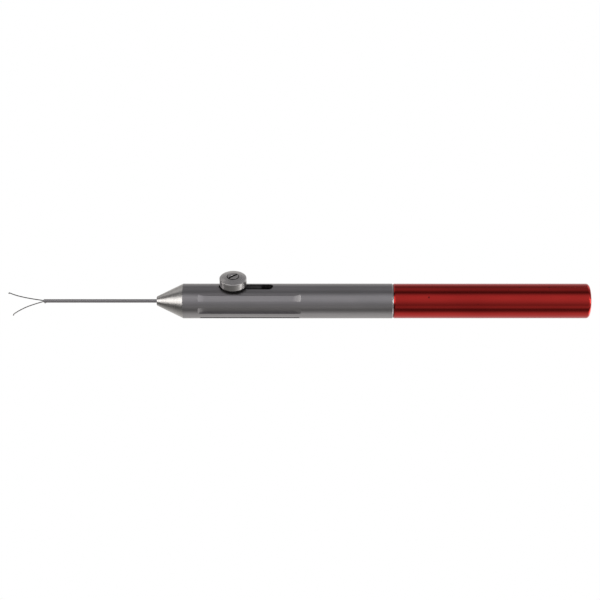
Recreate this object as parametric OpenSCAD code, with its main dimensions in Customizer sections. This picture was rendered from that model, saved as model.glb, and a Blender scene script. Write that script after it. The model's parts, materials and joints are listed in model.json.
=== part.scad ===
// Retractable two-prong pupil dilator, a hand-held eye-surgery instrument.
// X runs from the prongs (-) to the rear end (+), and Z points at the thumb knob.
// The origin is on the axis, at the middle of the rear handle. Lengths are in millimetres.

/* [Handle] */
// Outer diameter of the handle and of the barrel
grip_d = 8; // [7.6:0.1:9]
// Length of the anodised rear handle
handle_l = 45.1; // [40:0.1:60]
// Radius of the rounded rear edge of the handle
handle_edge_r = 0.7; // [0.3:0.1:1.5]
// Length of the chamfer on the front edge of the handle
handle_chamfer = 0.2; // [0.1:0.05:0.4]

/* [Barrel] */
// Length of the barrel, without the nose cone
barrel_l = 48.4; // [47.4:0.1:60]
// Length of the chamfer on the rear edge of the barrel
barrel_chamfer = 0.35; // [0.1:0.05:0.4]
// Diameter of the bore that the carriage slides in
bore_d = 5.8; // [5.6:0.1:5.8]
// Length of the grip flutes, with their run-outs
flute_l = 23.6; // [18:0.2:26]
// Distance from the handle joint to the rear end of the flutes
flute_rear_gap = 21.3; // [16:0.1:22]
// Width of one flute
flute_w = 1.6; // [1.2:0.05:1.9]
// Turn of all the flutes round the barrel, from an even place on both sides of the slot
flute_turn = 2.6; // [-5:0.1:5]
// Depth of one flute at its middle
flute_depth = 0.55; // [0.2:0.05:0.6]
// Radius of the cutter that leaves the run-out at both ends of a flute
flute_cutter_r = 4; // [2:0.1:5]

/* [Thumb slide] */
// Travel of the slide, from prongs out to prongs drawn in
travel = 8.1; // [5:0.1:8.2]
// Distance from the handle joint to the knob when the prongs are out
knob_to_joint = 36.8; // [36:0.1:37.8]
// Width of the slot in the barrel
slot_w = 2.1; // [1.9:0.05:2.2]
// How far the slot runs on in front of the stem
slot_front_room = 2.3; // [0:0.1:3]
// Diameter of the thumb knob
knob_d = 6.2; // [5:0.1:7]
// Height of the knob from its underside to its rim
knob_h = 1.65; // [1.4:0.05:2.4]
// Height of the domed top of the knob above its rim
knob_crown = 0.5; // [0.2:0.05:0.6]
// Diameter of the slide washer under the knob
washer_d = 5.6; // [5.4:0.1:7.4]
// Thickness of the slide washer
washer_h = 0.6; // [0.3:0.02:0.8]
// Diameter of the head of the knob screw
screw_head_d = 2.5; // [2.2:0.1:3]
// Direction of the driver slot in the screw head, from the axis of the instrument
screw_slot_angle = 42; // [0:1:180]
// Length of the carriage inside the barrel
carriage_l = 12.8; // [11:0.2:13]

/* [Nose] */
// Length of the nose cone
nose_l = 6.1; // [5:0.1:9]
// Diameter of the small end of the nose cone
nose_tip_d = 2.2; // [1.6:0.1:2.6]
// Outer diameter of the cannula
cannula_d = 0.82; // [0.8:0.02:1]
// Bore of the cannula
cannula_bore_d = 0.6; // [0.6:0.01:0.64]
// Length of cannula in front of the nose cone
cannula_l = 26.1; // [15:0.1:32]

/* [Prongs] */
// Diameter of the spring wire
wire_d = 0.22; // [0.16:0.01:0.22]
// How far the right prong reaches in front of the cannula
right_reach = 9; // [6:0.05:9]
// How far the end of the right prong stands out sideways
right_spread = 4.45; // [2:0.05:6]
// How far the left prong reaches in front of the cannula
left_reach = 6.5; // [6:0.05:9]
// How far the end of the left prong stands out sideways
left_spread = 4.2; // [2:0.05:6]
// Angle by which each prong hangs below the level plane
prong_droop = 9.5; // [0:0.5:15]
// Depth of the small hook at the end of each prong
hook_drop = 0.2; // [0.1:0.02:0.3]

/* [Hidden] */
$fn = 96;

grip_r = grip_d / 2;
bore_r = bore_d / 2;
seat_gap = 0.02;         // radial gap of a part seated or screwed into another
slide_gap = 0.05;        // radial gap of a part that slides
past = 0.5;              // how far a cutting shape runs past the face that it opens
chamfer_tilt = 35;       // of the chamfers where handle and barrel meet, from the axis
flute_pitch = 45;        // angle between flutes, with none over the slot

// Stations along X
joint_x = -handle_l / 2;
barrel_front_x = joint_x - barrel_l;
nose_tip_x = barrel_front_x - nose_l;
mouth_x = nose_tip_x - cannula_l;
knob_x = joint_x - knob_to_joint;
carriage_front_x = knob_x - carriage_l / 2;
slot_front_x = knob_x - slot_front_room;     // middles of the slot's round ends
slot_rear_x = knob_x + travel;
flute_rear_x = joint_x - flute_rear_gap;

// Threaded coupling between barrel and handle
stud_front_l = 6;
stud_rear_l = 6;
stud_rear_r = 2.5;
stud_bore_r = 1;
handle_thread_l = 7;
handle_core_r = 2;
handle_core_l = 38;

// Nose cone, its spigot, and what it holds
stop_gap = 0.1;          // left between the spigot and the carriage, which the spigot stops
spigot_l = carriage_front_x - barrel_front_x - stop_gap;
spigot_r = bore_r - seat_gap;
nose_bore_r = 1.2;
nose_bore_from = 2.4;
nose_edge = 0.12;
cannula_r = cannula_d / 2;
cannula_bore_r = cannula_bore_d / 2;
ferrule_l = 3;
guide_gap = 0.1;
guide_l = 4;

// Rubber rings in their grooves
seal_wire_r = 0.34;
seal_groove_w = 0.9;

// Thumb slide, heights above the axis
washer_z = grip_r + 0.06;
knob_z = washer_z + washer_h + 0.02;
knob_rim_z = knob_z + knob_h;
knob_top_z = knob_rim_z + knob_crown;
knob_chamfer = 0.12;
stem_r = slot_w / 2 - slide_gap;
stem_seat_z = 2;
shank_r = 0.6;
shank_foot_z = 0.65;
head_h = 0.75;
head_gap = 0.17;
driver_slot_w = 0.5;
driver_slot_depth = 0.5;
carriage_r = bore_r - slide_gap;
glide_groove_w = 0.8;
glide_floor_r = 2.3;
glide_from_front = 1.2;
set_screw_r = 0.8;
set_screw_to_knob = carriage_l / 2 - 3;
set_screw_top_z = 2.4;
set_screw_hex_r = 0.45;

// Push rod, crimp and wires
rod_r = 0.2;
rod_rear_x = knob_x - 1.4;
crimp_r = cannula_bore_r - seat_gap;
crimp_l = 3;
crimp_from_mouth = 2;
crimp_wire_l = 1.6;
wire_r = wire_d / 2;
wire_y = wire_r + 0.005;
bend_depth = 0.15;       // the wires part this far inside the mouth of the cannula
wire_sides = 10;
wire_steps = 26;
hook_steps = 5;
hook_turn = 75;
spread_linear = 0.67;    // share of the spread that grows evenly along the prong
spread_power = 3.4;      // how sharply the rest of it grows towards the end

// Small lug that stays at the mouth of the cannula
lug_l = 0.42;
lug_w = 0.3;
lug_drop = 0.17;
lug_from_mouth = 0.15;

// Turns a profile of [radius, distance] into a body around the X axis, distance along +X
module turned() {
    rotate([0, 90, 0]) rotate_extrude() children();
}

// Plain round bar along +X
module bar(from_x, length, r) {
    translate([from_x, 0, 0]) rotate([0, 90, 0]) cylinder(h = length, r = r);
}

// Flat washer-like ring along +X
module ring(from_x, length, outer_r, inner_r) {
    difference() {
        bar(from_x, length, outer_r);
        bar(from_x - past, length + 2 * past, inner_r);
    }
}

// Rubber ring whose middle is at a station
module seal(at_x, outer_r) {
    translate([at_x, 0, 0]) rotate([0, 90, 0]) rotate_extrude()
        translate([outer_r - seal_wire_r, 0]) circle(r = seal_wire_r, $fn = 32);
}

// One flute, cut at the top of the barrel
module flute_cut() {
    runout = sqrt(pow(flute_cutter_r, 2) - pow(flute_cutter_r - flute_depth, 2));
    floor_l = flute_l - 2 * runout;
    floor_z = grip_r - flute_depth;
    translate([flute_rear_x - flute_l + runout, flute_w / 2, 0]) rotate([90, 0, 0])
        linear_extrude(height = flute_w) {
            translate([0, floor_z]) square([floor_l, 2 * flute_cutter_r]);
            for (x = [0, floor_l])
                translate([x, floor_z + flute_cutter_r]) circle(r = flute_cutter_r);
        }
}

// The slot that the stem slides in
module slot_cut() {
    linear_extrude(height = grip_r + past) {
        translate([slot_front_x, -slot_w / 2]) square([slot_rear_x - slot_front_x, slot_w]);
        for (x = [slot_front_x, slot_rear_x]) translate([x, 0]) circle(d = slot_w);
    }
}

module barrel() {
    color("silver") difference() {
        turned() translate([0, barrel_front_x]) polygon([
            [0, 0], [grip_r, 0], [grip_r, barrel_l - barrel_chamfer],
            [grip_r - barrel_chamfer * tan(chamfer_tilt), barrel_l], [0, barrel_l]]);
        bar(barrel_front_x - past, barrel_l + 2 * past, bore_r);
        slot_cut();
        for (turn = [flute_pitch : flute_pitch : 360 - flute_pitch])
            rotate([turn + flute_turn, 0, 0]) flute_cut();
    }
}

module nose_cone() {
    cone_tip_r = nose_tip_d / 2;
    groove_x = barrel_front_x + spigot_l / 2 - seal_groove_w / 2;
    color("lightgray") difference() {
        union() {
            turned() translate([0, nose_tip_x]) polygon([
                [0, 0], [cone_tip_r - nose_edge, 0], [cone_tip_r, nose_edge],
                [grip_r, nose_l], [0, nose_l]]);
            bar(barrel_front_x, spigot_l, spigot_r);
        }
        bar(nose_tip_x - past, nose_l + spigot_l + 2 * past, cannula_r + seat_gap);
        bar(nose_tip_x + nose_bore_from, nose_l + spigot_l, nose_bore_r);
        ring(groove_x, seal_groove_w, bore_r, spigot_r - 2 * seal_wire_r);
    }
}

module nose_seal() {
    color("dimgray") seal(barrel_front_x + spigot_l / 2, spigot_r);
}

module cannula() {
    color("gray") ring(mouth_x, cannula_l + nose_bore_from + ferrule_l, cannula_r, cannula_bore_r);
}

module cannula_ferrule() {
    color("gold") ring(nose_tip_x + nose_bore_from, ferrule_l, nose_bore_r - seat_gap, cannula_r + seat_gap);
}

module rod_guide() {
    color("white") ring(nose_tip_x + nose_bore_from + ferrule_l + guide_gap, guide_l,
        nose_bore_r - seat_gap, rod_r + slide_gap);
}

module tip_hook() {
    color("gray") difference() {
        translate([mouth_x + lug_from_mouth, lug_w / 2, 0]) rotate([90, 0, 0])
            linear_extrude(height = lug_w) polygon([
                [0, 0], [0, -cannula_r - lug_drop], [lug_l / 3, -cannula_r - lug_drop],
                [lug_l, -cannula_r], [lug_l, 0]]);
        bar(mouth_x - past, lug_l + 2 * past, cannula_r);
    }
}

module handle() {
    color("firebrick") difference() {
        turned() translate([0, joint_x]) {
            polygon([
                [0, 0], [grip_r - handle_chamfer * tan(chamfer_tilt), 0], [grip_r, handle_chamfer],
                [grip_r, handle_l - handle_edge_r], [0, handle_l - handle_edge_r]]);
            square([grip_r - handle_edge_r, handle_l]);
            intersection() {
                translate([grip_r - handle_edge_r, handle_l - handle_edge_r]) circle(r = handle_edge_r);
                square([grip_r, handle_l]);
            }
        }
        bar(joint_x - past, handle_thread_l + past, stud_rear_r + seat_gap);
        bar(joint_x - past, handle_core_l + past, handle_core_r);
    }
}

module coupling_stud() {
    groove_x = joint_x - stud_front_l / 2 - seal_groove_w / 2;
    color("lightsteelblue") difference() {
        union() {
            bar(joint_x - stud_front_l, stud_front_l, spigot_r);
            bar(joint_x, stud_rear_l, stud_rear_r);
        }
        bar(joint_x - stud_front_l - past, stud_front_l + stud_rear_l + 2 * past, stud_bore_r);
        ring(groove_x, seal_groove_w, bore_r, spigot_r - 2 * seal_wire_r);
    }
}

module coupling_seal() {
    color("dimgray") seal(joint_x - stud_front_l / 2, spigot_r);
}

module carriage() {
    set_screw_x = knob_x - set_screw_to_knob;
    color("slategray") difference() {
        bar(carriage_front_x, carriage_l, carriage_r);
        bar(carriage_front_x - past, rod_rear_x - carriage_front_x + past, rod_r + seat_gap);
        ring(carriage_front_x + glide_from_front, glide_groove_w, bore_r, glide_floor_r);
        translate([knob_x, 0, stem_seat_z]) cylinder(h = grip_r, r = stem_r + seat_gap);
        translate([knob_x, 0, shank_foot_z]) cylinder(h = grip_r, r = shank_r + seat_gap);
        translate([set_screw_x, 0, 0]) cylinder(h = grip_r, r = set_screw_r + seat_gap);
    }
}

module glide_ring() {
    color("ivory") ring(carriage_front_x + glide_from_front + seat_gap, glide_groove_w - 2 * seat_gap,
        bore_r - seat_gap, glide_floor_r + seat_gap);
}

module rod_set_screw() {
    color("dimgray") translate([knob_x - set_screw_to_knob, 0, 0]) difference() {
        translate([0, 0, rod_r]) cylinder(h = set_screw_top_z - rod_r, r = set_screw_r);
        translate([0, 0, set_screw_top_z - set_screw_r]) cylinder(h = grip_r, r = set_screw_hex_r, $fn = 6);
    }
}

module stem_sleeve() {
    color("silver") translate([knob_x, 0, stem_seat_z]) difference() {
        cylinder(h = knob_z - stem_seat_z, r = stem_r);
        translate([0, 0, -past]) cylinder(h = grip_r + past, r = shank_r + seat_gap);
    }
}

module slide_washer() {
    color("#202020") translate([knob_x, 0, washer_z]) difference() {
        cylinder(h = washer_h, d = washer_d);
        translate([0, 0, -past]) cylinder(h = washer_h + 2 * past, r = stem_r + seat_gap);
    }
}

module knob() {
    rim_r = knob_d / 2 - knob_chamfer;
    dome_r = (pow(rim_r, 2) + pow(knob_crown, 2)) / (2 * knob_crown);
    color("lightgray") translate([knob_x, 0, 0]) difference() {
        rotate_extrude() {
            translate([0, knob_z]) polygon([
                [0, 0], [knob_d / 2, 0], [knob_d / 2, knob_h - knob_chamfer], [rim_r, knob_h], [0, knob_h]]);
            intersection() {
                translate([0, knob_top_z - dome_r]) circle(r = dome_r, $fn = 360);
                translate([0, knob_rim_z - knob_chamfer]) square([rim_r, knob_crown + knob_chamfer]);
            }
        }
        translate([0, 0, knob_top_z - head_h]) cylinder(h = head_h + past, r = screw_head_d / 2 + head_gap);
        translate([0, 0, knob_z - past]) cylinder(h = knob_h + knob_crown, r = shank_r + seat_gap);
    }
}

module knob_screw() {
    color("gainsboro") translate([knob_x, 0, 0]) difference() {
        union() {
            translate([0, 0, shank_foot_z]) cylinder(h = knob_top_z - head_h - shank_foot_z, r = shank_r);
            translate([0, 0, knob_top_z - head_h]) cylinder(h = head_h, d = screw_head_d);
        }
        rotate([0, 0, screw_slot_angle])
            translate([-screw_head_d, -driver_slot_w / 2, knob_top_z - driver_slot_depth])
                cube([2 * screw_head_d, driver_slot_w, head_h]);
    }
}

module push_rod() {
    front_x = mouth_x + crimp_from_mouth + crimp_wire_l;
    color("gray") bar(front_x, rod_rear_x - front_x, rod_r);
}

module prong_ferrule() {
    front_x = mouth_x + crimp_from_mouth;
    color("silver") difference() {
        bar(front_x, crimp_l, crimp_r);
        bar(front_x + crimp_wire_l, crimp_l, rod_r);
        translate([front_x - past, 0, 0]) rotate([0, 90, 0])
            linear_extrude(height = crimp_wire_l + past) {
                square([2 * wire_r, 2 * wire_y], center = true);
                for (side = [-1, 1]) translate([0, side * wire_y]) circle(r = wire_r, $fn = 32);
            }
    }
}

function unit(v) = v / norm(v);

// Sideways distance of a prong from its straight line, at a share t of its reach
function splay(t, spread) = spread * (spread_linear * t + (1 - spread_linear) * pow(t, spread_power));

// Centre line of a prong that stands out towards side, +1 or -1 along Y
function prong_path(reach, spread, side) = let (
    out = [0, side * cos(prong_droop), -sin(prong_droop)],
    root = [0, side * wire_y, 0],
    arc_r = hook_drop / (1 - cos(hook_turn)),
    leg = [for (i = [0 : wire_steps]) let (t = i / wire_steps)
        root + [mouth_x + bend_depth - (reach + bend_depth - arc_r) * t, 0, 0] + out * splay(t, spread)],
    ahead = unit(leg[wire_steps] - leg[wire_steps - 1]),
    hook = [for (i = [1 : hook_steps]) let (a = hook_turn * i / hook_steps)
        leg[wire_steps] + arc_r * (sin(a) * ahead - (1 - cos(a)) * [0, 0, 1])]
) concat([root + [mouth_x + crimp_from_mouth + crimp_wire_l, 0, 0]], leg, hook);

// Direction of the line at its point i
function heading(line, i) = unit(line[min(i + 1, len(line) - 1)] - line[max(i - 1, 0)]);

// Side direction at each point, carried along the line so that the tube doesn't twist
function carried(line, i, last) = i >= len(line) ? [] : let (
    ahead = heading(line, i),
    side = unit(last - (last * ahead) * ahead)
) concat([side], carried(line, i + 1, side));

// Round tube that follows a line
module tube_along(line, r) {
    sides = carried(line, 0, [0, 0, 1]);
    count = len(line);
    points = [for (i = [0 : count - 1]) for (k = [0 : wire_sides - 1]) let (
        a = 360 * k / wire_sides,
        other = cross(heading(line, i), sides[i])
    ) line[i] + r * (cos(a) * sides[i] + sin(a) * other)];
    skin = [for (i = [0 : count - 2]) for (k = [0 : wire_sides - 1]) let (
        next = (k + 1) % wire_sides
    ) [i * wire_sides + next, i * wire_sides + k, (i + 1) * wire_sides + k, (i + 1) * wire_sides + next]];
    first = [for (k = [0 : wire_sides - 1]) k];
    last = [for (k = [wire_sides - 1 : -1 : 0]) (count - 1) * wire_sides + k];
    polyhedron(points, concat([first], skin, [last]), convexity = 6);
}

module prong_left() {
    color("dimgray") tube_along(prong_path(left_reach, left_spread, -1), wire_r);
}

module prong_right() {
    color("dimgray") tube_along(prong_path(right_reach, right_spread, 1), wire_r);
}

barrel();
nose_cone();
nose_seal();
cannula();
cannula_ferrule();
rod_guide();
tip_hook();
handle();
coupling_stud();
coupling_seal();
carriage();
glide_ring();
rod_set_screw();
stem_sleeve();
slide_washer();
knob();
knob_screw();
push_rod();
prong_ferrule();
prong_left();
prong_right();
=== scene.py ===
"""A retractable two-prong pupil dilator on a plain white table under soft studio light."""
import json
import math

import bpy
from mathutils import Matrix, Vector


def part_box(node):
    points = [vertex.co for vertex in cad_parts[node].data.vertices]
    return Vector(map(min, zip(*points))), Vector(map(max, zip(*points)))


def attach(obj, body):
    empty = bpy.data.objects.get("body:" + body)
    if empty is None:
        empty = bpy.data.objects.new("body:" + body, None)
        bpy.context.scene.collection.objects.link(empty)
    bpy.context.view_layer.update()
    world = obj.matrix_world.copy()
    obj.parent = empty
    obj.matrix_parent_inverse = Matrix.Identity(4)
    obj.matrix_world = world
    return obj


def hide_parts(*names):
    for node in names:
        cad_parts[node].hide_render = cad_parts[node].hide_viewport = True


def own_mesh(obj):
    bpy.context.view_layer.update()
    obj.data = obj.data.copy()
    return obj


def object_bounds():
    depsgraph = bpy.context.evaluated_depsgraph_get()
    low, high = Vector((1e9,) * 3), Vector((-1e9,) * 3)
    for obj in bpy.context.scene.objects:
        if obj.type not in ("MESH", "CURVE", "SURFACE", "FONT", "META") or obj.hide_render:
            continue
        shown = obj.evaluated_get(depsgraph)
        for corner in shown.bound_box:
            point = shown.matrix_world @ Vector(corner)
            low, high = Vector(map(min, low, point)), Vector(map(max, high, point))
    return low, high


MM = 0.001

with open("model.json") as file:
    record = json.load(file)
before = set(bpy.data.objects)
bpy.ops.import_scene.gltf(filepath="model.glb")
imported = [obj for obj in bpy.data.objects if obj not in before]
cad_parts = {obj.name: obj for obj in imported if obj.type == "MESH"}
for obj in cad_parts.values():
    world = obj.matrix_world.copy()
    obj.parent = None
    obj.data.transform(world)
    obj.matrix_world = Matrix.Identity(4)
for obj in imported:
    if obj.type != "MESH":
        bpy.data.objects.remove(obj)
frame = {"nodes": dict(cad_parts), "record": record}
cad_low, cad_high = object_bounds()

# ---------------------------------------------------------------- camera

CAMERA_ELEVATION = 33.5     # degrees
CAMERA_DISTANCE = 0.340
CAMERA_LENS = 88.4
CAMERA_SENSOR = 36
CAMERA_NEAR = 0.01
CAMERA_FAR = 20
AIM_ALONG = -21.50 * MM     # from the front of the handle to the middle of the picture
AIM_UP = 0.22 * MM

centre = Vector(((cad_low.x + cad_high.x) / 2, 0, 0))


def direction(azimuth, elevation):
    """Unit vector from the object outwards, from two angles in degrees.

    Azimuth 0 is the camera's side, and azimuth 90 is the handle's end.
    """
    a, e = math.radians(azimuth), math.radians(elevation)
    return Vector((math.sin(a) * math.cos(e), -math.cos(a) * math.cos(e), math.sin(e)))


def face_towards(obj, target):
    """Turns a camera or a light to look at a place."""
    obj.rotation_mode = "QUATERNION"
    obj.rotation_quaternion = (target - obj.location).to_track_quat("-Z", "Y")


def add_camera():
    """Long lens on the object's side, looking down on it."""
    data = bpy.data.cameras.new("camera")
    data.lens = CAMERA_LENS
    data.sensor_width = CAMERA_SENSOR
    data.clip_start = CAMERA_NEAR
    data.clip_end = CAMERA_FAR
    camera = bpy.data.objects.new("camera", data)
    bpy.context.scene.collection.objects.link(camera)
    back = direction(0, CAMERA_ELEVATION)
    up = direction(180, 90 - CAMERA_ELEVATION)
    target = Vector((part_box("handle")[0].x + AIM_ALONG, 0, 0)) + AIM_UP * up
    camera.location = target + CAMERA_DISTANCE * back
    face_towards(camera, target)
    bpy.context.scene.camera = camera


add_camera()

# ---------------------------------------------------------------- studio

WARM = (1.0, 0.975, 0.955)
COOL = (0.995, 0.975, 1.01)

# Brightness of the studio round the X axis, by degrees up from the front horizon. From below
# come the table, a dark gap and a low strip in front, a broad softbox, a dark band overhead,
# a dim panel behind it, and then a white wall that runs down to the table again.
STUDIO = [
    (-90, 0.68), (-74, 0.65), (-62, 0.62), (-50, 0.42), (-38, 0.13), (-22, 0.08), (-13, 0.33),
    (-5, 0.36), (5, 0.19), (16, 0.31), (33, 0.48), (46, 0.54), (62, 0.56), (72, 0.46),
    (79, 0.28), (87, 0.08), (96, 0.09), (105, 0.20), (114, 0.32), (126, 0.26), (141, 0.14),
    (154, 0.33), (168, 0.57), (190, 0.65), (225, 0.67), (255, 0.70), (270, 0.68)]
COOL_FROM = 0
COOL_TO = 160

# Factor on that brightness, by the share of a direction that points along +X.
ENDS = [
    (-1, 0.36), (-0.7, 0.37), (-0.3, 1.0), (0.2, 1.0), (0.38, 1.4), (0.6, 1.4), (0.8, 1.2), (1, 1.2)]

# Panels that face the object: name, azimuth, elevation, width, height and brightness.
SOFTBOX_DISTANCE = 0.45
SOFTBOXES = [
    ("side_left", -70, 17.4, 0.34, 0.232, 1.72),
    ("back_left", -135, 35, 0.24, 0.20, 0.5),
    ("left_high", -50, 48, 0.22, 0.16, 0.7),
    ("glint_left", -84, 9, 0.14, 0.12, 3.2),
    ("glint_right", 73, 11, 0.10, 0.14, 8.0),
    ("under_right", 90, -35, 0.34, 0.20, 1.6),
    ("back_right", 138, 31, 0.20, 0.16, 0.7)]

FLOOR_HALF = 2.5
FLOOR_GAP = 0.05 * MM
TABLE_GLOW = 1.0


def add_softbox(name, azimuth, elevation, width, height, brightness):
    """A warm panel. Its brightness is its radiance, so 1 is a white sheet."""
    data = bpy.data.lights.new(name, "AREA")
    data.shape = "RECTANGLE"
    data.size = width
    data.size_y = height
    data.energy = brightness * math.pi * width * height
    data.color = WARM
    light = bpy.data.objects.new(name, data)
    bpy.context.scene.collection.objects.link(light)
    light.location = centre + SOFTBOX_DISTANCE * direction(azimuth, elevation)
    face_towards(light, centre)
    light.visible_camera = False


def light_table(name):
    """Sheet that glows evenly, so that nothing casts a shadow on it."""
    material = bpy.data.materials.new(name)
    material.use_nodes = True
    shader = material.node_tree.nodes["Principled BSDF"]
    shader.inputs["Base Color"].default_value = (0, 0, 0, 1)
    shader.inputs["Roughness"].default_value = 1.0
    shader.inputs["Specular IOR Level"].default_value = 0.0
    shader.inputs["Emission Color"].default_value = (1, 1, 1, 1)
    shader.inputs["Emission Strength"].default_value = TABLE_GLOW
    return material


def add_floor():
    """Level square just under the barrel. Only the camera sees it."""
    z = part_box("barrel")[0].z - FLOOR_GAP
    corners = [(x * FLOOR_HALF, y * FLOOR_HALF, z) for x, y in ((-1, -1), (1, -1), (1, 1), (-1, 1))]
    mesh = bpy.data.meshes.new("floor")
    mesh.from_pydata(corners, [], [(0, 1, 2, 3)])
    mesh.materials.append(light_table("white_table"))
    floor = bpy.data.objects.new("floor", mesh)
    bpy.context.scene.collection.objects.link(floor)
    for ray in ("glossy", "diffuse", "shadow"):
        setattr(floor, "visible_" + ray, False)


def studio_tint(angle):
    """Cool from the front horizon over the top, and warm on the wall behind and the table."""
    return COOL if COOL_FROM < angle < COOL_TO else WARM


def no_tint(_place):
    """White all along a ramp."""
    return 1, 1, 1


def ramp(tree, value, stops, tint):
    """Brightness along a list of (place, brightness) stops, blended evenly from stop to stop."""
    low, high = stops[0][0], stops[-1][0]
    to_unit = tree.nodes.new("ShaderNodeMapRange")
    to_unit.inputs["From Min"].default_value = low
    to_unit.inputs["From Max"].default_value = high
    tree.links.new(value, to_unit.inputs["Value"])
    node = tree.nodes.new("ShaderNodeValToRGB")
    elements = node.color_ramp.elements
    elements.remove(elements[1])
    for place, _ in stops[1:]:
        elements.new((place - low) / (high - low))
    for element, (place, brightness) in zip(elements, stops):
        element.color = (*(brightness * c for c in tint(place)), 1)
    tree.links.new(to_unit.outputs["Result"], node.inputs["Fac"])
    return node.outputs["Color"]


def maths(tree, operation, *values):
    """One Math node. Each value is a socket or a plain number."""
    node = tree.nodes.new("ShaderNodeMath")
    node.operation = operation
    for socket, value in zip(node.inputs, values):
        if isinstance(value, bpy.types.NodeSocket):
            tree.links.new(value, socket)
        else:
            socket.default_value = value
    return node.outputs[0]


def add_world():
    """Studio walls at a distance. The sky direction's angle round the X axis sets its brightness."""
    world = bpy.data.worlds.new("studio")
    bpy.context.scene.world = world
    world.use_nodes = True
    tree = world.node_tree
    background = tree.nodes["Background"]
    sky = tree.nodes.new("ShaderNodeTexCoord").outputs["Generated"]
    split = tree.nodes.new("ShaderNodeSeparateXYZ")
    tree.links.new(sky, split.inputs[0])
    towards_front = maths(tree, "MULTIPLY", split.outputs["Y"], -1)
    angle = maths(tree, "DEGREES", maths(tree, "ARCTAN2", split.outputs["Z"], towards_front))
    angle = maths(tree, "WRAP", angle, STUDIO[-1][0], STUDIO[0][0])     # into the list's own turn
    tree.links.new(ramp(tree, angle, STUDIO, studio_tint), background.inputs["Color"])
    tree.links.new(ramp(tree, split.outputs["X"], ENDS, no_tint), background.inputs["Strength"])


bpy.context.scene.view_settings.view_transform = "Standard"
add_world()
for softbox in SOFTBOXES:
    add_softbox(*softbox)
add_floor()

# ---------------------------------------------------------------- materials

GRAIN_DEPTH = 0.01 * MM     # of the fine bumps on turned, blasted and moulded faces
DRAWN_DEPTH = 0.003 * MM    # of the lines along drawn tube and wire
BEVEL_SAMPLES = 6
CORNER_SAMPLES = 8
MIX_FIRST = 6               # a Mix node's sockets for two colours, and for their mix
MIX_SECOND = 7
MIX_RESULT = 2


class Surface:
    """A Principled material, with helpers for textures in the object's own coordinates."""

    def __init__(self, name, colour, metallic, roughness):
        self.material = bpy.data.materials.new(name)
        self.material.use_nodes = True
        self.tree = self.material.node_tree
        self.shader = self.tree.nodes["Principled BSDF"]
        self.shader.inputs["Base Color"].default_value = (*colour, 1)
        self.shader.inputs["Metallic"].default_value = metallic
        self.shader.inputs["Roughness"].default_value = roughness
        self.place = self.node("ShaderNodeTexCoord").outputs["Object"]

    def node(self, kind, **settings):
        """A new node with some of its settings changed."""
        made = self.tree.nodes.new(kind)
        for key, value in settings.items():
            setattr(made, key, value)
        return made

    def link(self, source, target):
        self.tree.links.new(source, target)

    def noise(self, scale, detail=2.0, roughness=0.5):
        """Noise whose cells are 1 / scale metres along each axis."""
        mapping = self.node("ShaderNodeMapping")
        mapping.inputs["Scale"].default_value = scale
        self.link(self.place, mapping.inputs["Vector"])
        texture = self.node("ShaderNodeTexNoise")
        texture.inputs["Scale"].default_value = 1
        texture.inputs["Detail"].default_value = detail
        texture.inputs["Roughness"].default_value = roughness
        self.link(mapping.outputs["Vector"], texture.inputs["Vector"])
        return texture.outputs["Fac"]

    def rings(self, middle, scale):
        """Noise in fine rings round an upright axis through a place."""
        mapping = self.node("ShaderNodeMapping")
        mapping.inputs["Location"].default_value = (-middle.x, -middle.y, 0)
        mapping.inputs["Scale"].default_value = (1, 1, 0)
        self.link(self.place, mapping.inputs["Vector"])
        radius = self.node("ShaderNodeVectorMath", operation="LENGTH")
        self.link(mapping.outputs["Vector"], radius.inputs[0])
        texture = self.node("ShaderNodeTexNoise", noise_dimensions="1D")
        texture.inputs["Scale"].default_value = scale
        texture.inputs["Detail"].default_value = 2
        self.link(radius.outputs["Value"], texture.inputs["W"])
        return texture.outputs["Fac"]

    def remap(self, value, low, high, from_low=0.3, from_high=0.7):
        """Takes a range of values evenly to low and high."""
        node = self.node("ShaderNodeMapRange")
        node.inputs["From Min"].default_value = from_low
        node.inputs["From Max"].default_value = from_high
        node.inputs["To Min"].default_value = low
        node.inputs["To Max"].default_value = high
        self.link(value, node.inputs["Value"])
        return node.outputs["Result"]

    def mix(self, factor, first, second):
        """Mixes two colours. Each is a socket or a plain colour."""
        node = self.node("ShaderNodeMix", data_type="RGBA")
        self.link(factor, node.inputs["Factor"])
        for colour, socket in ((first, node.inputs[MIX_FIRST]), (second, node.inputs[MIX_SECOND])):
            if isinstance(colour, bpy.types.NodeSocket):
                self.link(colour, socket)
            else:
                socket.default_value = (*colour, 1)
        return node.outputs[MIX_RESULT]

    def corners(self, distance, share=1.0):
        """Mask for painted shade: its share in deep corners and slots, nought on open faces."""
        node = self.node("ShaderNodeAmbientOcclusion", samples=CORNER_SAMPLES)
        node.inputs["Distance"].default_value = distance
        return self.remap(node.outputs["AO"], share, 0, 0.35, 0.85)

    def rounded(self, radius):
        """Shades sharp edges as if they were rounded off."""
        node = self.node("ShaderNodeBevel", samples=BEVEL_SAMPLES)
        node.inputs["Radius"].default_value = radius
        self.link(node.outputs["Normal"], self.shader.inputs["Normal"])

    def bump(self, height, strength, depth):
        """Small bumps, on top of the rounding if there is any."""
        node = self.node("ShaderNodeBump")
        node.inputs["Strength"].default_value = strength
        node.inputs["Distance"].default_value = depth
        self.link(height, node.inputs["Height"])
        previous = self.shader.inputs["Normal"].links
        if previous:
            self.link(previous[0].from_socket, node.inputs["Normal"])
        self.link(node.outputs["Normal"], self.shader.inputs["Normal"])


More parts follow.
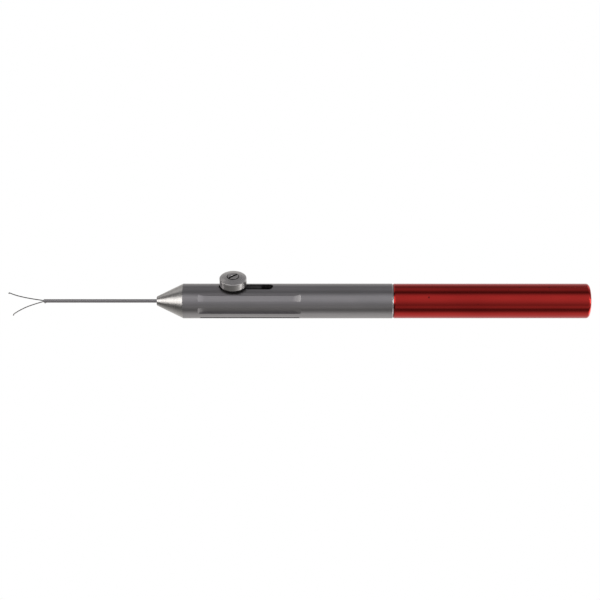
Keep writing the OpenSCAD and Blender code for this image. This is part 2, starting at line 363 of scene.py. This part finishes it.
def blasted_titanium():
    """Matt grey metal with blotches, streaks along the bar and fine grain, and painted shade that darkens
    its corners.
    """
    s = Surface("blasted_titanium", (0.41, 0.40, 0.41), 1.0, 0.3)
    s.rounded(0.07 * MM)
    blotch = s.noise((120, 400, 400), detail=3)
    streaks = s.noise((90, 4000, 4000), detail=3)
    fine = s.noise((4000, 4000, 4000), detail=3, roughness=0.7)
    colour = s.mix(s.remap(blotch, 0, 1), (0.40, 0.395, 0.40), (0.445, 0.435, 0.445))
    colour = s.mix(s.remap(streaks, 0, 0.35), colour, (0.36, 0.35, 0.36))
    colour = s.mix(s.remap(fine, 0, 0.3), colour, (0.35, 0.34, 0.345))
    # Painted shade: the colour goes nearly black where faces close in, in the flutes, the slot and the
    # joints.
    colour = s.mix(s.corners(0.4 * MM, 0.45), colour, (0.12, 0.115, 0.115))
    s.link(colour, s.shader.inputs["Base Color"])
    s.link(s.remap(fine, 0.32, 0.39), s.shader.inputs["Roughness"])
    s.bump(s.noise((7000, 7000, 7000)), 0.06, GRAIN_DEPTH)
    return s.material


def red_anodised():
    """Dyed aluminium under a clear seal, with a few dark specks where the dye missed."""
    s = Surface("red_anodised", (0.55, 0.005, 0.004), 1.0, 0.25)
    s.rounded(0.06 * MM)
    s.shader.inputs["Coat Weight"].default_value = 0.3
    s.shader.inputs["Coat Roughness"].default_value = 0.18
    s.shader.inputs["Coat IOR"].default_value = 1.5
    fine = s.noise((5000, 5000, 5000), roughness=0.6)
    slow = s.noise((60, 300, 300))
    colour = s.mix(s.remap(slow, 0, 1), (0.50, 0.020, 0.016), (0.60, 0.028, 0.022))
    specks = s.noise((900, 900, 900), detail=1)
    colour = s.mix(s.remap(specks, 0, 1, 0.77, 0.79), colour, (0.10, 0.004, 0.004))
    s.link(colour, s.shader.inputs["Base Color"])
    s.link(s.remap(fine, 0.17, 0.21), s.shader.inputs["Roughness"])
    s.bump(s.noise((6000, 6000, 6000)), 0.02, GRAIN_DEPTH)
    return s.material


def turned_steel(name, colour, roughness, turned_round=None, crevice_shade=0.0, crevice_shade_reach=0.35 * MM):
    """Steel with fine rings round the X axis, or round an upright axis at the place given. Painted shade
    can darken its hollows and slots.
    """
    s = Surface(name, colour, 1.0, roughness)
    if turned_round is None:
        marks = s.noise((9000, 60, 60), roughness=0.6)
    else:
        marks = s.rings(turned_round, 7000)
    s.rounded(0.05 * MM)
    s.link(s.remap(marks, roughness - 0.04, roughness + 0.07), s.shader.inputs["Roughness"])
    s.bump(marks, 0.03, GRAIN_DEPTH)
    cloud = s.noise((600, 600, 600), detail=3)
    dull = [0.94 * c for c in colour]
    bright = [min(1.06 * c, 1) for c in colour]
    tone = s.mix(s.remap(cloud, 0, 1), dull, bright)
    # Painted shade: the colour darkens in hollows and slots, by the given share, within the given reach.
    if crevice_shade:
        tone = s.mix(s.corners(crevice_shade_reach), tone, [(1 - crevice_shade) * c for c in colour])
    s.link(tone, s.shader.inputs["Base Color"])
    return s.material


def drawn_steel(name, colour, roughness):
    """Steel with fine lines along the X axis."""
    s = Surface(name, colour, 1.0, roughness)
    lines = s.noise((150, 12000, 12000))
    s.link(s.remap(lines, roughness - 0.04, roughness + 0.06), s.shader.inputs["Roughness"])
    s.bump(lines, 0.03, DRAWN_DEPTH)
    return s.material


def plastic(name, colour, roughness, shine=0.5):
    """Plastic or rubber with a fine moulded grain."""
    s = Surface(name, colour, 0.0, roughness)
    s.shader.inputs["Specular IOR Level"].default_value = shine
    grain = s.noise((5000, 5000, 5000))
    s.link(s.remap(grain, roughness - 0.05, roughness + 0.08), s.shader.inputs["Roughness"])
    s.bump(grain, 0.15, GRAIN_DEPTH)
    return s.material


materials = {
    "blasted_titanium": blasted_titanium(),
    "satin_steel": turned_steel("satin_steel", (0.62, 0.61, 0.595), 0.3),
    "tube_steel": drawn_steel("tube_steel", (0.43, 0.42, 0.43), 0.32),
    "slide_steel": turned_steel("slide_steel", (0.20, 0.20, 0.20), 0.4),
    "spring_wire": drawn_steel("spring_wire", (0.010, 0.008, 0.006), 0.35),
    "brass_collar": turned_steel("brass_collar", (0.75, 0.58, 0.3), 0.3),
    "red_anodised": red_anodised(),
    "black_plastic": plastic("black_plastic", (0.006, 0.006, 0.006), 0.5, shine=0.2),
    "white_plastic": plastic("white_plastic", (0.8, 0.8, 0.78), 0.5),
    "seal_rubber": plastic("seal_rubber", (0.03, 0.03, 0.03), 0.6),
}

# Nodes that look a little different from the rest of their slot
knob_low, knob_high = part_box("knob")
knob_axis = (knob_low + knob_high) / 2
special = {
    # Painted light: the left prong's wire is the same wire painted lighter, for the extra light it
    # catches.
    "prong_left": drawn_steel("wire_painted_lighter", (0.15, 0.14, 0.13), 0.35),
    # Painted shade in the knob's recess and gaps, and deeper and wider in the screw's slot.
    "knob": turned_steel("knob_steel", (0.60, 0.59, 0.58), 0.3, knob_axis, crevice_shade=0.75),
    "knob_screw": turned_steel(
        "screw_steel", (0.62, 0.61, 0.60), 0.28, knob_axis, crevice_shade=0.95, crevice_shade_reach=0.9 * MM),
}

for row in frame["record"]["subparts"]:
    node = frame["nodes"][row["node"]]
    node.data.materials.clear()
    node.data.materials.append(special.get(row["node"], materials[row["material_slot"]]))

# ---------------------------------------------------------------- prongs

WIRE_R = 0.11 * MM
WIRE_Y = 0.115 * MM         # from the axis to the middle of a wire
BEND_DEPTH = 0.15 * MM      # the wires part just inside the mouth of the cannula
CLAMP_DEPTH = 3.6 * MM      # and are clamped this far in
DROOP = math.radians(9.5)
SPREAD_LINEAR = 0.67        # share of the spread that grows evenly along a prong
SPREAD_POWER = 3.4          # how sharply the rest of it grows towards the end
HOOK_DROP = 0.2 * MM
HOOK_TURN = math.radians(75)
BEAD_R = 0.135 * MM
BEAD_TIP_R = 0.15 * BEAD_R  # of the small flat that closes the bead
WIRE_SIDES = 20
LEG_STEPS = 72
HOOK_STEPS = 10
BEAD_STEPS = 7
REACH = {"prong_left": 6.5 * MM, "prong_right": 9.0 * MM}
SPREAD = {"prong_left": 4.2 * MM, "prong_right": 4.45 * MM}
DOWN = Vector((0, 0, -1))


def splay(t):
    """Share of the spread that a prong has reached at a share t of its length."""
    return SPREAD_LINEAR * t + (1 - SPREAD_LINEAR) * t ** SPREAD_POWER


def outward(side):
    """Direction in which a prong stands out. Side is +1 or -1 along Y."""
    return Vector((0, side * math.cos(DROOP), -math.sin(DROOP)))


def prong_line(reach, spread, side):
    """Centre line of a prong, from the clamp to the middle of its bead."""
    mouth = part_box("cannula")[0].x
    root = Vector((0, side * WIRE_Y, 0))
    arc = HOOK_DROP / (1 - math.cos(HOOK_TURN))
    points = [root + Vector((mouth + depth, 0, 0)) for depth in (CLAMP_DEPTH, CLAMP_DEPTH / 2)]
    for i in range(LEG_STEPS + 1):
        t = i / LEG_STEPS
        along = Vector((mouth + BEND_DEPTH - (reach + BEND_DEPTH - arc) * t, 0, 0))
        points.append(root + along + spread * splay(t) * outward(side))
    elbow = points[-1]
    ahead = (points[-1] - points[-2]).normalized()
    for i in range(1, HOOK_STEPS + 1):
        turn = HOOK_TURN * i / HOOK_STEPS
        points.append(elbow + arc * (math.sin(turn) * ahead + (1 - math.cos(turn)) * DOWN))
    return points


def swept(name, points, radii):
    """Round tube along a line, with its own radius at each point and its ends closed."""
    verts = []
    faces = []
    side = -DOWN
    last = len(points) - 1
    for i, (point, radius) in enumerate(zip(points, radii)):
        ahead = (points[min(i + 1, last)] - points[max(i - 1, 0)]).normalized()
        side = (side - side.dot(ahead) * ahead).normalized()
        other = ahead.cross(side)
        for k in range(WIRE_SIDES):
            a = 2 * math.pi * k / WIRE_SIDES
            verts.append(point + radius * (math.cos(a) * side + math.sin(a) * other))
    for i in range(last):
        here, there = i * WIRE_SIDES, (i + 1) * WIRE_SIDES
        for k in range(WIRE_SIDES):
            n = (k + 1) % WIRE_SIDES
            faces.append((here + k, here + n, there + n, there + k))
    faces.append(tuple(reversed(range(WIRE_SIDES))))
    faces.append(tuple(last * WIRE_SIDES + k for k in range(WIRE_SIDES)))
    mesh = bpy.data.meshes.new(name)
    mesh.from_pydata(verts, [], faces)
    mesh.update()
    for face in mesh.polygons:
        face.use_smooth = len(face.vertices) == 4
    obj = bpy.data.objects.new(name, mesh)
    bpy.context.scene.collection.objects.link(obj)
    return obj


def add_prong(name, node, side):
    """A spring wire with a bead on its hooked end, carried by the slide."""
    line = prong_line(REACH[node], SPREAD[node], side)
    radii = [WIRE_R] * len(line)
    end = line[-1]
    ahead = (line[-1] - line[-2]).normalized()
    for i in range(BEAD_STEPS + 1):
        turn = math.pi * i / BEAD_STEPS
        line.append(end - BEAD_R * math.cos(turn) * ahead)
        radii.append(max(BEAD_R * math.sin(turn), BEAD_TIP_R if i else WIRE_R))
    prong = swept(name, line, radii)
    prong.data.materials.append(special.get(node, materials["spring_wire"]))
    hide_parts(node)
    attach(prong, "slider")
    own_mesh(prong)


add_prong("spring_prong_left", "prong_left", -1)
add_prong("spring_prong_right", "prong_right", 1)
